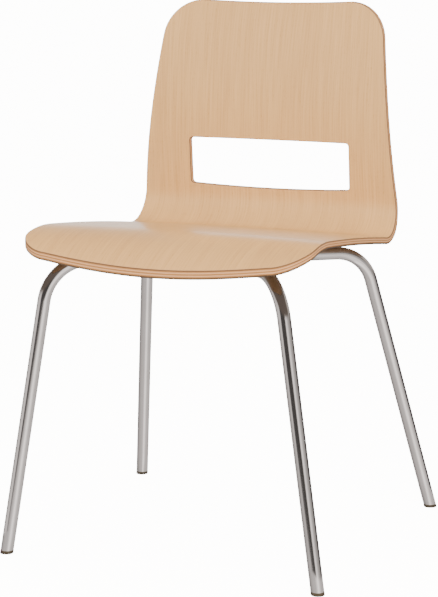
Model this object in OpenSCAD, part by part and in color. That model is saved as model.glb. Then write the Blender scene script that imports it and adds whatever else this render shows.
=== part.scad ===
// Stacking chair: one bent-plywood shell with a hand slot, on two bent steel tubes.
// +X is the sitter's left, -Y is the front, +Z is up. The floor is Z = 0.

/* [Build] */
// Sub-part to draw, or "all"

/* [Shell] */
// Height of the seat's front crest above the floor
seat_h = 470; // [440:5:500]
// Plywood thickness
ply_t = 10.5; // [9:0.5:12]
// Widest part of the seat, near its front corners
seat_w = 434; // [398:4:450]
// Seat width where the seat turns up into the back
bend_w = 422; // [382:4:442]
// Back width at the start of the top corners
back_w = 360; // [320:4:400]
// How far the back's side edges bow outwards
back_bulge = 1; // [0:0.5:5]
// Front edge of the seat, on the middle line
seat_front_y = -250.5; // [-256:0.5:-246]
// Forward bow of the front edge
front_bow = 14; // [6:1:20]
// Front corner radius
front_corner_r = 50; // [30:2:70]
// Top corner radius
top_corner_r = 60; // [40:2:80]
// Dip in the middle of the top edge
top_dip = 3; // [0:0.5:5]
// Radius of the back from side to side
cross_r = 1750; // [1500:50:2400]

/* [Side profile] */
// Slope of the front nose where it starts
nose_angle = 35; // [28:1:40]
// Length of the curved nose
nose_len = 141; // [125:1:155]
// Slope of the seat behind the nose, falling to the rear
tilt_front = 5.3; // [4:0.1:6]
// Length of the flat part of the seat
seat_len = 256; // [235:1:275]
// Slope of the seat at the rear
tilt_rear = 8.5; // [7:0.1:10]
// Length of the tight bend from seat to back
bend_len = 81; // [76:1:96]
// Angle of the back where the bend ends
back_low = 100.3; // [97:0.1:103]
// Length of the lower back
low_len = 134; // [120:1:150]
// Angle of the back at the end of the lower back
back_mid = 85.6; // [82:0.1:89]
// Length of the upper back
high_len = 161; // [130:1:190]
// Angle of the back at the top edge
back_top = 73.7; // [70:0.1:78]

/* [Slot] */
// Slot width
slot_w = 261; // [220:2:270]
// Slot height at its ends
slot_h = 71.5; // [60:0.5:75]
// Height of the slot's lower corners above the seat crest
slot_rise = 27.5; // [24:0.5:36]
// Slot corner radius
slot_r = 5; // [4:0.5:12]
// Downward bow of the slot's lower edge
slot_bow = 4; // [0:0.5:5]

/* [Tubes] */
// Outside diameter of the leg tube
tube_d = 19; // [18:0.5:20]
// Wall of the leg tube
tube_wall = 1.5; // [1.2:0.1:2]
// Front feet, sideways from the middle
foot_front_x = 240; // [220:2:250]
// Front feet, forward of the middle
foot_front_y = 233.5; // [225:0.5:240]
// Rear feet, sideways from the middle
foot_rear_x = 249; // [230:2:260]
// Rear feet, behind the middle
foot_rear_y = 240.5; // [230:0.5:250]
// Front bend, sideways from the middle
top_front_x = 173; // [165:1:180]
// Front bend, forward of the middle
top_front_y = 213.5; // [209:0.5:218]
// Rear bend, sideways from the middle
top_rear_x = 177; // [170:1:184]
// Rear bend, behind the middle
top_rear_y = 116.5; // [110:0.5:123]
// Seat crest to the tube axis at the rear bends
frame_drop = 55; // [52:1:62]
// Fall of the tube frame from front to rear
frame_tilt = 2.5; // [2:0.1:3.2]
// Radius of the bend at the top of each leg
leg_bend_r = 65; // [55:1:75]
// Radius of the middle bend of each tube
mid_bend_r = 60; // [50:1:70]
// Space between the two tubes where they pass
tube_gap = 1; // [0.6:0.1:2]
// Middle of the frame, forward of the middle of the feet
frame_mid_y = 60.5; // [56:0.5:66]

/* [Mounting] */
// Outermost screws to the side edges of the mounting plate
plate_edge_x = 14; // [11:1:18]
// Outermost screws to the front and rear edges of the mounting plate
plate_edge_y = 12; // [10:1:18]
// Mounting plate thickness
plate_t = 3; // [2.5:0.5:4]
// Screw spacing, side to side
screw_x = 100; // [96:1:104]
// Screw spacing, front to rear
screw_y = 72; // [68:1:76]
// Screw thread diameter
screw_d = 6; // [5:0.5:8]
// Radial clearance of a screw in the plate
screw_gap = 0.3; // [0.2:0.05:0.5]
// Insert nut wall outside the thread
insert_wall = 1.5; // [1.2:0.1:2]
// Insert nut length
insert_l = 11; // [9:0.5:12]

/* [Buffers] */
// End of the leg bend to the buffer, along the tube
buffer_gap = 40; // [2:1:60]
// Buffer length along the tube
buffer_l = 30; // [24:1:36]
// Buffer thickness beside the tube
buffer_wall = 2.5; // [1.5:0.5:4]

/* [Glides] */
// Thickness of the glide below the tube end
glide_t = 5; // [4:0.5:7]
// Glide plug depth inside the tube
plug_l = 20; // [14:1:26]
// Radial clearance of the plug in the tube
plug_gap = 0.05; // [0.02:0.01:0.2]

/* [Hidden] */

$fn = 64;
big = 400; // half the size of the block that trims the tube ends
trim_h = 60; // height of the blocks that trim or cut other shapes
ply_color = [0.86, 0.74, 0.60];
block_color = [0.80, 0.66, 0.50];
chrome_color = [0.72, 0.72, 0.74];
zinc_color = [0.60, 0.60, 0.58];
weld_color = [0.45, 0.45, 0.46];
rubber_color = [0.12, 0.12, 0.12];
glide_color = [0.25, 0.23, 0.22];

// ---- side profile of the sitting face, as headings along the length ----
// a piece of the profile: length, heading at the start, heading at the end, steps
pieces = [
  [nose_len, nose_angle, -tilt_front, 12],
  [seat_len, -tilt_front, -tilt_rear, 5],
  [bend_len, -tilt_rear, back_low, 18],
  [low_len, back_low, back_mid, 8],
  [high_len, back_mid, back_top, 7],
  [18, back_top, back_top, 1]
];

// steps of the whole profile: [length of the step, heading of the step, heading at its end]
steps = [for (p = pieces) for (k = [1 : p[3]])
  [p[0] / p[3], p[1] + (p[2] - p[1]) * (k - 0.5) / p[3], p[1] + (p[2] - p[1]) * k / p[3]]];
n_steps = len(steps);

// running sum: [y, z, heading] from the front edge
walk = [for (i = 0, y = 0, z = 0, a = nose_angle;
    i <= n_steps;
    y = y + (i < n_steps ? steps[i][0] * cos(steps[i][1]) : 0),
    z = z + (i < n_steps ? steps[i][0] * sin(steps[i][1]) : 0),
    a = i < n_steps ? steps[i][2] : a,
    i = i + 1) [y, z, a]];

crest = max([for (i = [0 : 17]) walk[i][1]]);
front_z = seat_h - crest;
lead = 34;
lead_in = [-lead * cos(nose_angle), -lead * sin(nose_angle), nose_angle];
face = [for (w = concat([lead_in], walk)) [w[0] + seat_front_y, w[1] + front_z, w[2]]];
n_face = len(face);

// index of the last point of the bend, of the lower back and of the top edge
i_bend = 1 + 12 + 5 + 18;
i_low = i_bend + 8;
i_top = i_low + 7;
top_z = face[i_top][1];
axis_y = (face[i_bend][0] + face[i_low][0]) / 2 - cross_r;

function off_point(p, d) = [p[0] + sin(p[2]) * d, p[1] - cos(p[2]) * d];
function swing(pts) = [for (p = pts) [p[0] - axis_y, p[1]]];
face_line = [for (p = face) off_point(p, 0)];
under_line = [for (p = face) off_point(p, ply_t)];

// revolves a side profile about the upright axis in front of the chair, past both sides
sweep_extra = 35;
sweep_half = asin((max(seat_w, bend_w, back_w) / 2 + sweep_extra) / (seat_front_y - axis_y));
module swept_side(pts) {
  translate([0, axis_y, 0])
    rotate([0, 0, 90 - sweep_half])
      rotate_extrude(angle = 2 * sweep_half, $fn = 360)
        polygon(swing(pts));
}

// everything above the underside of the seat
module above_seat() {
  low = [for (i = [0 : i_seat]) under_line[i]];
  swept_side(concat(low, [[low[i_seat][0], seat_h + trim_h], [low[0][0], seat_h + trim_h]]));
}

// ---- outlines ----
function arc_pts(cx, cy, rx, ry, a0, a1, n) =
  [for (k = [0 : n]) let(a = a0 + (a1 - a0) * k / n) [cx + rx * cos(a), cy + ry * sin(a)]];
function mirror_pts(pts) = [for (i = [len(pts) - 1 : -1 : 0]) [-pts[i][0], pts[i][1]]];

half_seat = seat_w / 2;
half_bend = bend_w / 2;
half_back = back_w / 2;
corner_x = half_seat - front_corner_r;
corner_drop = front_bow * pow(corner_x / half_seat, 2);
corner_y = seat_front_y + corner_drop + front_corner_r;
i_seat = 1 + 12 + 5;
split_y = face[i_seat][0];
bend_z = face[i_seat][1];

front_edge = [for (k = [0 : 7]) let(x = corner_x * k / 8)
  [x, seat_front_y + front_bow * pow(x / half_seat, 2)]];
seat_side = concat(front_edge,
  arc_pts(corner_x, corner_y, front_corner_r, front_corner_r, -90, 0, 14),
  [[half_bend, split_y - 20], [half_bend, split_y]]);

// seat outline seen from above
module seat_outline() {
  polygon(concat(seat_side, [for (p = mirror_pts(seat_side)) if (p[0] < 0) p]));
}

// the back's sides lean in and run into round corners that end at the top edge
top_cz = top_z - top_corner_r;
narrowing = half_bend - half_back + back_bulge * 4;
first_lean = atan(narrowing / (top_cz - bend_z));
lean = atan(narrowing / (top_cz + top_corner_r * sin(first_lean) - bend_z));
side_rise = top_cz + top_corner_r * sin(lean) - bend_z;
function back_half(u) = half_bend + (half_back - half_bend) * u + back_bulge * 4 * u * (1 - u);
back_sides = [for (k = [0 : 11]) [back_half(k / 12), bend_z + side_rise * k / 12]];
top_x = half_back - top_corner_r * cos(lean);
top_edge = [for (k = [7 : -1 : 0]) let(x = top_x * k / 8)
  [x, top_z - top_dip * (1 - pow(x / top_x, 2))]];
back_side = concat([[half_bend, bend_z - 40]], back_sides,
  arc_pts(top_x, top_cz, top_corner_r, top_corner_r, lean, 90, 14), top_edge);

// back outline seen from the front
module back_outline() {
  polygon(concat(back_side, [for (p = mirror_pts(back_side)) if (p[0] < 0) p]));
}

slot_z = seat_h + slot_rise;
slot_half = slot_w / 2;
slot_floor = [for (k = [0 : 15]) let(x = (slot_half - slot_r) * (k - 7.5) / 7.5)
  [x, slot_z - slot_bow * (1 - pow(x / (slot_half - slot_r), 2))]];
slot_path = concat(slot_floor,
  arc_pts(slot_half - slot_r, slot_z + slot_r, slot_r, slot_r, -90, 0, 6),
  arc_pts(slot_half - slot_r, slot_z + slot_h - slot_r, slot_r, slot_r, 0, 90, 6),
  arc_pts(slot_r - slot_half, slot_z + slot_h - slot_r, slot_r, slot_r, 90, 180, 6),
  arc_pts(slot_r - slot_half, slot_z + slot_r, slot_r, slot_r, 180, 264, 5));

// ---- tube frame ----
frame_z = seat_h - frame_drop;
tube_r = tube_d / 2;
bore_r = tube_r - tube_wall;
mid_y = -frame_mid_y;
mid_z = frame_z + (top_rear_y - mid_y) * tan(frame_tilt);

// from the frame's own plane to the chair
function to_chair(p) = [p[0], mid_y + p[1] * cos(frame_tilt) + p[2] * sin(frame_tilt),
  mid_z - p[1] * sin(frame_tilt) + p[2] * cos(frame_tilt)];
module in_frame() {
  translate([0, mid_y, mid_z])
    rotate([-frame_tilt, 0, 0])
      children();
}

function unit(v) = v / norm(v);
half_gap = tube_r + tube_gap / 2;
function corner_v(y) = (y - mid_y) / cos(frame_tilt);

// side = 1 rear tube, -1 front tube; all in the frame's plane
function top_x_of(side) = side > 0 ? top_rear_x : top_front_x;
function top_v_of(side) = side > 0 ? corner_v(top_rear_y) : -corner_v(-top_front_y);
function centre_v(side) = half_gap + mid_bend_r;
function far(side) = norm([top_x_of(side), top_v_of(side) - centre_v(side)]);
function seen(side) = atan2(top_v_of(side) - centre_v(side), top_x_of(side));
function touch(side) = seen(side) - acos(mid_bend_r / far(side));
function touch_pt(side) = [mid_bend_r * cos(touch(side)),
  side * (centre_v(side) + mid_bend_r * sin(touch(side))), 0];
function corner_pt(side) = [top_x_of(side), side * top_v_of(side), 0];
function foot_pt(side) = side > 0 ? [foot_rear_x, foot_rear_y, 0] : [foot_front_x, -foot_front_y, 0];

// a straight length of tube from a to b, solid of radius r
module rod(a, b, r) {
  w = unit(b - a);
  u = unit(cross(abs(w[2]) > 0.9 ? [1, 0, 0] : [0, 0, 1], w));
  v = cross(w, u);
  multmatrix([[u[0], v[0], w[0], a[0]], [u[1], v[1], w[1], a[1]], [u[2], v[2], w[2], a[2]]])
    cylinder(r = r, h = norm(b - a));
}

// the bend between the lines a-p and p-b
function turn(a, p, b) = acos(unit(p - a) * unit(b - p));

// sweeps a section along the middle bend of a tube, between two angles from its crown
module middle_arc(side, a0, a1) {
  translate([0, side * centre_v(side), 0])
    rotate([0, 0, a0 - side * 90])
      rotate_extrude(angle = a1 - a0, $fn = 180)
        children();
}

// one half of a tube, laid piece after piece from the crown of its middle bend
function mid_turn(side) = 90 + touch(side);
function dir_chair(v) = to_chair(v) - to_chair([0, 0, 0]);
function run_x(side) = dir_chair([-sin(mid_turn(side)), side * cos(mid_turn(side)), 0]);
function run_y(side) = dir_chair([0, 0, side]);
function leg_dir(side) = unit(foot_pt(side) - to_chair(corner_pt(side)));
function roll(side) = atan2(leg_dir(side) * run_y(side), leg_dir(side) * run_x(side));
function leg_turn(side) = turn(to_chair(touch_pt(side)), to_chair(corner_pt(side)), foot_pt(side));
function leg_cut(side) = leg_bend_r * tan(leg_turn(side) / 2);
function run_l(side) = norm(corner_pt(side) - touch_pt(side)) - leg_cut(side);
function leg_l(side) = norm(foot_pt(side) - to_chair(corner_pt(side))) - leg_cut(side);

// how much a tube swells in its bends, and how far its straight lengths reach into them
bend_swell = 0.05;
bend_lap = 0.4;
end_extra = 10;
plate_low = tube_r + bend_swell;
plate_top = plate_low + plate_t;

// a bend that starts along +Z and curves towards +X; children go on from its end
module bend_on(bend_r, angle) {
  union() {
    translate([bend_r, 0, 0])
      rotate([0, 0, 180])
        rotate([90, 0, 0])
          rotate_extrude(angle = angle, $fn = 180)
            translate([bend_r, 0])
              difference() {
                circle(r = tube_r + bend_swell, $fn = 48);
                circle(r = bore_r + bend_swell, $fn = 48);
              }
    translate([bend_r, 0, 0])
      rotate([0, angle, 0])
        translate([-bend_r, 0, 0])
          children();
  }
}

// a straight length of tube along +Z; children go on from its end
module straight_on(l) {
  union() {
    difference() {
      translate([0, 0, -bend_lap])
        cylinder(r = tube_r, h = l + 2 * bend_lap, $fn = 48);
      translate([0, 0, -bend_lap - 1])
        cylinder(r = bore_r, h = l + 2 * bend_lap + 2, $fn = 48);
    }
    translate([0, 0, l])
      children();
  }
}

module half_tube(side) {
  in_frame()
    multmatrix([[0, 0, 1, 0], [side, 0, 0, side * half_gap], [0, side, 0, 0]])
      bend_on(mid_bend_r, mid_turn(side))
        straight_on(run_l(side))
          rotate([0, 0, roll(side)])
            bend_on(leg_bend_r, leg_turn(side))
              straight_on(leg_l(side) + end_extra);
}

module leg_tube(side) {
  difference() {
    union() {
      half_tube(side);
      mirror([1, 0, 0])
        half_tube(side);
    }
    translate([-big, -big, glide_t - trim_h])
      cube([2 * big, 2 * big, trim_h]);
  }
}

// ---- pieces ----
module seat_cutter() {
  translate([0, 0, bend_z - 60])
    linear_extrude(height = 160)
      seat_outline();
}

module back_cutter() {
  translate([0, split_y, 0])
    rotate([90, 0, 180])
      linear_extrude(height = 200)
        back_outline();
}

module shell() {
  color(ply_color)
    difference() {
      intersection() {
        swept_side(concat(face_line, [for (i = [n_face - 1 : -1 : 0]) under_line[i]]));
        union() {
          seat_cutter();
          back_cutter();
        }
      }
      translate([0, split_y - 40, 0])
        rotate([90, 0, 180])
          linear_extrude(height = 160)
            polygon(slot_path);
    }
}

// a flat blank with round corners, in the frame's plane
module blank(w, l, r, h) {
  linear_extrude(height = h)
    polygon(concat(
      arc_pts(w / 2 - r, l / 2 - r, r, r, 0, 90, 8),
      arc_pts(r - w / 2, l / 2 - r, r, r, 90, 180, 8),
      arc_pts(r - w / 2, r - l / 2, r, r, 180, 270, 8),
      arc_pts(w / 2 - r, r - l / 2, r, r, 270, 360, 8)));
}

screw_places = [[screw_x / 2, 0], [-screw_x / 2, 0], [0, screw_y / 2], [0, -screw_y / 2]];
plate_w = screw_x + 2 * plate_edge_x;
plate_l = screw_y + 2 * plate_edge_y;
plate_r = plate_edge_x;
insert_d = screw_d + 2 * insert_wall;
thread_gap = 0.05;
washer_t = 1.4;
washer_d = 1.9 * screw_d;
head_d = 1.75 * screw_d;
head_h = 0.58 * screw_d;
socket_d = 0.67 * screw_d;
head_edge = 0.8;
socket_deep = 0.62 * head_h;
block_edge = 3;
block_r = plate_r - 2;
point_gap = 1;

module at_screws() {
  for (p = screw_places)
    translate([p[0], p[1], 0])
      children();
}

module spacer_block() {
  color(block_color)
    difference() {
      in_frame()
        difference() {
          translate([0, 0, plate_top])
            blank(plate_w - 2 * block_edge, plate_l - 2 * block_edge, block_r, trim_h);
          at_screws()
            translate([0, 0, plate_top - 1])
              cylinder(d = insert_d, h = insert_l + 1);
        }
      above_seat();
    }
}

module insert_nuts() {
  color(zinc_color)
    in_frame()
      at_screws()
        translate([0, 0, plate_top])
          difference() {
            cylinder(d = insert_d, h = insert_l);
            translate([0, 0, -1])
              cylinder(d = screw_d + 2 * thread_gap, h = insert_l + 2);
          }
}

module mounting_plate() {
  color(zinc_color)
    in_frame()
      difference() {
        translate([0, 0, plate_low])
          blank(plate_w, plate_l, plate_r, plate_t);
        at_screws()
          translate([0, 0, plate_low - 1])
            cylinder(d = screw_d + 2 * screw_gap, h = plate_t + 2);
      }
}

module mounting_screws() {
  color(zinc_color)
    in_frame()
      at_screws()
        translate([0, 0, plate_low - washer_t])
          difference() {
            union() {
              translate([0, 0, -head_h])
                cylinder(d1 = head_d - 2 * head_edge, d2 = head_d, h = head_edge);
              translate([0, 0, head_edge - head_h])
                cylinder(d = head_d, h = head_h - head_edge);
              cylinder(d = screw_d, h = washer_t + plate_t + insert_l - point_gap);
            }
            translate([0, 0, -head_h - 1])
              cylinder(d = socket_d, h = socket_deep + 1, $fn = 6);
          }
}

module spring_washers() {
  color(zinc_color)
    in_frame()
      at_screws()
        translate([0, 0, plate_low - washer_t])
          difference() {
            cylinder(d = washer_d, h = washer_t);
            translate([0, 0, -1])
              cylinder(d = screw_d + 2 * screw_gap, h = washer_t + 2);
          }
}

module front_tube() {
  color(chrome_color)
    leg_tube(-1);
}

module rear_tube() {
  color(chrome_color)
    leg_tube(1);
}

// section of a bead between the tube and the plate, on one side of the tube
bead_in = 0.26 * tube_r;
bead_out = 0.79 * tube_r;
bead_deep = 0.36 * tube_r;
module bead_section(s) {
  difference() {
    translate([mid_bend_r, 0])
      polygon([
        [s * bead_in, plate_low],
        [s * bead_out, plate_low],
        [s * (bead_out - 0.5), plate_low - bead_deep],
        [s * bead_in, plate_low - 0.3 * bead_deep]
      ]);
    translate([mid_bend_r, 0])
      circle(r = plate_low, $fn = 48);
  }
}

// one long bead inside each middle bend and two short ones outside it
bead_half = 40;
bead_end = 44;
bead_start = 28;
module plate_welds() {
  color(weld_color)
    in_frame()
      for (side = [1, -1]) {
        middle_arc(side, -bead_half, bead_half)
          bead_section(-1);
        middle_arc(side, bead_start, bead_end)
          bead_section(1);
        middle_arc(side, -bead_end, -bead_start)
          bead_section(1);
      }
}

// a rubber saddle that fills the space between a tube and the seat
module buffer(side, m) {
  t = to_chair(touch_pt(side));
  p = to_chair(corner_pt(side));
  d = unit(t - p);
  b = p + d * (leg_cut(side) + buffer_gap + buffer_l / 2);
  color(rubber_color)
    mirror([m, 0, 0])
      difference() {
        translate(b)
          rotate([0, 0, atan2(d[1], d[0])])
            translate([-buffer_l / 2, -tube_r - buffer_wall, 0])
              cube([buffer_l, tube_d + 2 * buffer_wall, trim_h]);
        rod(t, p, tube_r);
        above_seat();
      }
}

module buffer_front_left() { buffer(-1, 0); }
module buffer_front_right() { buffer(-1, 1); }
module buffer_rear_left() { buffer(1, 0); }
module buffer_rear_right() { buffer(1, 1); }

// a glide: a plug inside the tube end on a pad that stands level on the floor
pad_over = 0.2;
plug_sink = 1;
module glide(side, m) {
  f = foot_pt(side);
  d = unit(to_chair(corner_pt(side)) - f);
  color(glide_color)
    mirror([m, 0, 0])
      union() {
        intersection() {
          rod(f - d * tube_r, f + d * (tube_r + glide_t), tube_r + pad_over);
          translate([f[0] - trim_h / 2, f[1] - trim_h / 2, 0])
            cube([trim_h, trim_h, glide_t]);
        }
        intersection() {
          rod(f - d * tube_r, f + d * (plug_l + glide_t), bore_r - plug_gap);
          translate([f[0] - trim_h / 2, f[1] - trim_h / 2, glide_t - plug_sink])
            cube([trim_h, trim_h, trim_h]);
        }
      }
}

module glide_front_left() { glide(-1, 0); }
module glide_front_right() { glide(-1, 1); }
module glide_rear_left() { glide(1, 0); }
module glide_rear_right() { glide(1, 1); }

shell();
spacer_block();
insert_nuts();
mounting_plate();
mounting_screws();
spring_washers();
front_tube();
rear_tube();
plate_welds();
buffer_front_left();
buffer_front_right();
buffer_rear_left();
buffer_rear_right();
glide_front_left();
glide_front_right();
glide_rear_left();
glide_rear_right();
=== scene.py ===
# %% [markdown]
# # Stacking chair
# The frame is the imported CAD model. This notebook dresses it: a veneered plywood
# shell, chromed legs, rubber buffers and dark glides, in metres, with +Z up and
# the sitter facing -Y. Each step says what a piece or finish is on the real chair,
# how it could be made, and why it is made this way.

# %% Load the frame
import math

import bpy
import numpy as np
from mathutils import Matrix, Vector
from mathutils.geometry import delaunay_2d_cdt


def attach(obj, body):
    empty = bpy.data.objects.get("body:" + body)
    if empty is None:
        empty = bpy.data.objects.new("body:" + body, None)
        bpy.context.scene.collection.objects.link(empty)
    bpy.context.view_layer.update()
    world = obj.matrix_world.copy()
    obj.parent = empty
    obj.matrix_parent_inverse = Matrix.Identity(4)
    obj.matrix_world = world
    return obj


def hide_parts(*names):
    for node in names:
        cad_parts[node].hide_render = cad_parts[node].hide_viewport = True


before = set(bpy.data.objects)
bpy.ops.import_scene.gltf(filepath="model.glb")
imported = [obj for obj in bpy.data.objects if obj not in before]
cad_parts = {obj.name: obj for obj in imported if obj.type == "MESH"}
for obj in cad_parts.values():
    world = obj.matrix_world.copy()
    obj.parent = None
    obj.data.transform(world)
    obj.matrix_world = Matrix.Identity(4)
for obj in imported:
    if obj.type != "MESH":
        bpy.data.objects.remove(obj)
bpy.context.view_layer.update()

# %% [markdown]
# ## The chair's sizes
# The shell is pressed over a mould and the legs are bent to set radii. Their sizes
# could be measured off the loaded meshes, but named values are easier to read. These
# are the same values as in the CAD source, in metres and degrees.

# %% Sizes
MM = 0.001
SEAT_H = 470 * MM
PLY_T = 10.5 * MM
HALF_SEAT = 217 * MM
HALF_BEND = 211 * MM
HALF_BACK = 180 * MM
BACK_BULGE = 1 * MM
SEAT_FRONT_Y = -250.5 * MM
FRONT_BOW = 14 * MM
FRONT_CORNER_R = 50 * MM
TOP_CORNER_R = 60 * MM
TOP_DIP = 3 * MM
CROSS_R = 1750 * MM

# length, heading at the start, heading at the end, steps
PROFILE = [
    (141 * MM, 35.0, -5.3, 40),
    (256 * MM, -5.3, -8.5, 40),
    (81 * MM, -8.5, 100.3, 48),
    (134 * MM, 100.3, 85.6, 32),
    (161 * MM, 85.6, 73.7, 32),
    (18 * MM, 73.7, 73.7, 2),
]

SLOT_HALF = 130.5 * MM
SLOT_H = 71.5 * MM
SLOT_Z = SEAT_H + 27.5 * MM
SLOT_R = 5 * MM
SLOT_BOW = 4 * MM

TUBE_R = 9.5 * MM
GLIDE_T = 5 * MM
FEET = {"front": Vector((0.240, -0.2335, 0)), "rear": Vector((0.249, 0.2405, 0))}
TOPS = {"front": (0.173, -0.2135), "rear": (0.177, 0.1165)}
FRAME_Z = SEAT_H - 55 * MM
FRAME_TILT = math.radians(2.5)
FRAME_MID_Y = -60.5 * MM
LEG_BEND_R = 65 * MM
MID_BEND_R = 60 * MM
HALF_GAP = TUBE_R + 0.5 * MM

# %% [markdown]
# ## The side profile
# Seen from the side, the sitting face is one smooth line: a rolled front, a nearly
# flat seat, a tight bend and a leaning back. A Bezier curve could follow it by eye.
# Here it is a chain of arcs, as drawn for the press. Each arc's heading changes evenly
# along its length, so summing short steps gives the curve.

# %% Walk the profile
def walk_profile():
    lengths, headings = [0.0], [PROFILE[0][1]]
    y, z, ys, zs = 0.0, 0.0, [0.0], [0.0]
    for length, start, end, n in PROFILE:
        for k in range(n):
            middle = math.radians(start + (end - start) * (k + 0.5) / n)
            y += length / n * math.cos(middle)
            z += length / n * math.sin(middle)
            ys.append(y)
            zs.append(z)
            lengths.append(lengths[-1] + length / n)
            headings.append(start + (end - start) * (k + 1) / n)
    return np.array(lengths), np.array(ys), np.array(zs), np.radians(headings)


PATH, FACE_Y, FACE_Z, HEADING = walk_profile()
# the profile also runs on a little in front of the front edge
LEAD = 0.034
# the crest of the seat is among this many points
TO_CREST = 70
PATH = np.insert(PATH, 0, -LEAD)
FACE_Y = np.insert(FACE_Y, 0, -LEAD * math.cos(HEADING[0]))
FACE_Z = np.insert(FACE_Z, 0, -LEAD * math.sin(HEADING[0]))
HEADING = np.insert(HEADING, 0, HEADING[0])
FACE_Y = FACE_Y + SEAT_FRONT_Y
FACE_Z = FACE_Z + SEAT_H - FACE_Z[:TO_CREST].max()

# the numbers of the points where the seat, the bend and the back's two arcs end
ARC_ENDS = np.cumsum([arc[3] for arc in PROFILE]) + 1
I_SEAT, I_BEND, I_LOW, I_TOP = ARC_ENDS[1:5]
S_BEND, S_TOP = PATH[I_BEND], PATH[I_TOP]
SPLIT_Y = FACE_Y[I_SEAT]
BEND_Z = FACE_Z[I_SEAT]
TOP_Z = FACE_Z[I_TOP]
AXIS_Y = (FACE_Y[I_BEND] + FACE_Y[I_LOW]) / 2 - CROSS_R
print("top of the back", round(TOP_Z, 4), "turning axis at y", round(AXIS_Y, 4))


# %% [markdown]
# ## From flat veneer to the bent shell
# The back is slightly hollow from side to side. Sculpting could give that, but a
# formula keeps it exact. A point on the shell is (x, s, depth): across, along the
# profile, and down from the sitting face. The profile is swung about an upright axis
# in front of the chair, and the same numbers later place the wood grain.

# %% Surface functions
# how far the trim from above runs on past the seat, and where the bend's lowest point
# is looked for, in points of the profile
PLAN_REACH = 12
BEND_LEAD = 10


def side_line(depth):
    return FACE_Y + np.sin(HEADING) * depth, FACE_Z - np.cos(HEADING) * depth


def surface(x, s, depth):
    a = np.interp(s, PATH, HEADING)
    y = np.interp(s, PATH, FACE_Y) + np.sin(a) * depth
    z = np.interp(s, PATH, FACE_Z) - np.cos(a) * depth
    swing = y - AXIS_Y
    return np.stack([x, AXIS_Y + np.sqrt(swing**2 - x**2), z], -1)


def s_from_plan(x, y, depth):
    ys, _ = side_line(depth)
    end = I_SEAT + PLAN_REACH
    return np.interp(np.hypot(x, y - AXIS_Y) + AXIS_Y, ys[:end], PATH[:end])


def s_from_height(z, depth):
    _, zs = side_line(depth)
    first = I_SEAT - BEND_LEAD
    low = first + int(np.argmin(zs[first:I_BEND]))
    return np.interp(z, zs[low:], PATH[low:])


print("crest of the seat", surface(np.array(0.0), np.array(0.13), 0.0).round(4))

# %% [markdown]
# ## The outline
# The pressed sheet is trimmed to a bowed front edge, round corners, tapering sides
# and a slightly dipped top, and a hand slot is cut in the back. A traced outline would
# need hundreds of points, so arcs and short formulas draw it instead. The seat is
# trimmed from above and the back from the front. Half the edge is worked out, from the
# middle of the front to the middle of the top, and the other half mirrors it.

# %% Outline points
CORNER_X = HALF_SEAT - FRONT_CORNER_R
CORNER_Y = SEAT_FRONT_Y + FRONT_BOW * (CORNER_X / HALF_SEAT) ** 2 + FRONT_CORNER_R
TOP_CZ = TOP_Z - TOP_CORNER_R
NARROWING = HALF_BEND - HALF_BACK + BACK_BULGE * 4
LEAN = math.atan(NARROWING / (TOP_CZ - BEND_Z))
LEAN = math.atan(NARROWING / (TOP_CZ + TOP_CORNER_R * math.sin(LEAN) - BEND_Z))
CORNER_Z = TOP_CZ + TOP_CORNER_R * math.sin(LEAN)
SIDE_RISE = CORNER_Z - BEND_Z
TOP_X = HALF_BACK - TOP_CORNER_R * math.cos(LEAN)
# the seat's sides are done narrowing at this share of their length
TAPER_END = 0.94
# points along each stretch of half the outline, and of the slot
N_FRONT, N_CORNER, N_SIDE, N_BEND, N_BACK, N_TOP = 25, 17, 45, 15, 30, 20
N_SLOT_SIDE, N_SLOT_CORNER = 33, 7


def back_half(z):
    u = np.clip((z - BEND_Z) / SIDE_RISE, 0, 1)
    return HALF_BEND + (HALF_BACK - HALF_BEND) * u + BACK_BULGE * 4 * u * (1 - u)


def half_outline(depth):
    """Right half of the trimmed edge as (x, s)."""
    xs, ss = [], []

    def plan(x, y):
        xs.extend(x)
        ss.extend(s_from_plan(x, y, depth))

    x = np.linspace(0, CORNER_X, N_FRONT)[:-1]
    plan(x, SEAT_FRONT_Y + FRONT_BOW * (x / HALF_SEAT) ** 2)
    a = np.radians(np.linspace(-90, 0, N_CORNER))
    plan(CORNER_X + FRONT_CORNER_R * np.cos(a), CORNER_Y + FRONT_CORNER_R * np.sin(a))
    t = np.linspace(0, 1, N_SIDE)[1:]
    x = HALF_SEAT + (HALF_BEND - HALF_SEAT) * np.minimum(t / TAPER_END, 1)
    plan(x, CORNER_Y + (SPLIT_Y - CORNER_Y) * t)
    s = np.linspace(ss[-1], S_BEND, N_BEND)[1:]
    z = surface(np.zeros_like(s), s, depth)[:, 2]
    xs.extend(back_half(z))
    ss.extend(s)
    z = np.linspace(z[-1], CORNER_Z, N_BACK)[1:]
    xs.extend(back_half(z))
    ss.extend(s_from_height(z, depth))
    a = np.linspace(LEAN, math.pi / 2, N_CORNER)[1:]
    xs.extend(TOP_X + TOP_CORNER_R * np.cos(a))
    ss.extend(s_from_height(TOP_CZ + TOP_CORNER_R * np.sin(a), depth))
    x = np.linspace(TOP_X, 0, N_TOP)[1:]
    xs.extend(x)
    top = TOP_Z - TOP_DIP * (1 - (x / TOP_X) ** 2)
    ss.extend(s_from_height(top, depth))
    return np.stack([xs, ss], -1)


def outline(depth):
    half = half_outline(depth)
    left = half[1:-1][::-1] * [-1, 1]
    return np.vstack([half, left])


def slot_corner(x, z, start):
    a = np.radians(np.linspace(start, start + 90, N_SLOT_CORNER))
    return np.stack([x + SLOT_R * np.cos(a), z + SLOT_R * np.sin(a)], -1)


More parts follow.
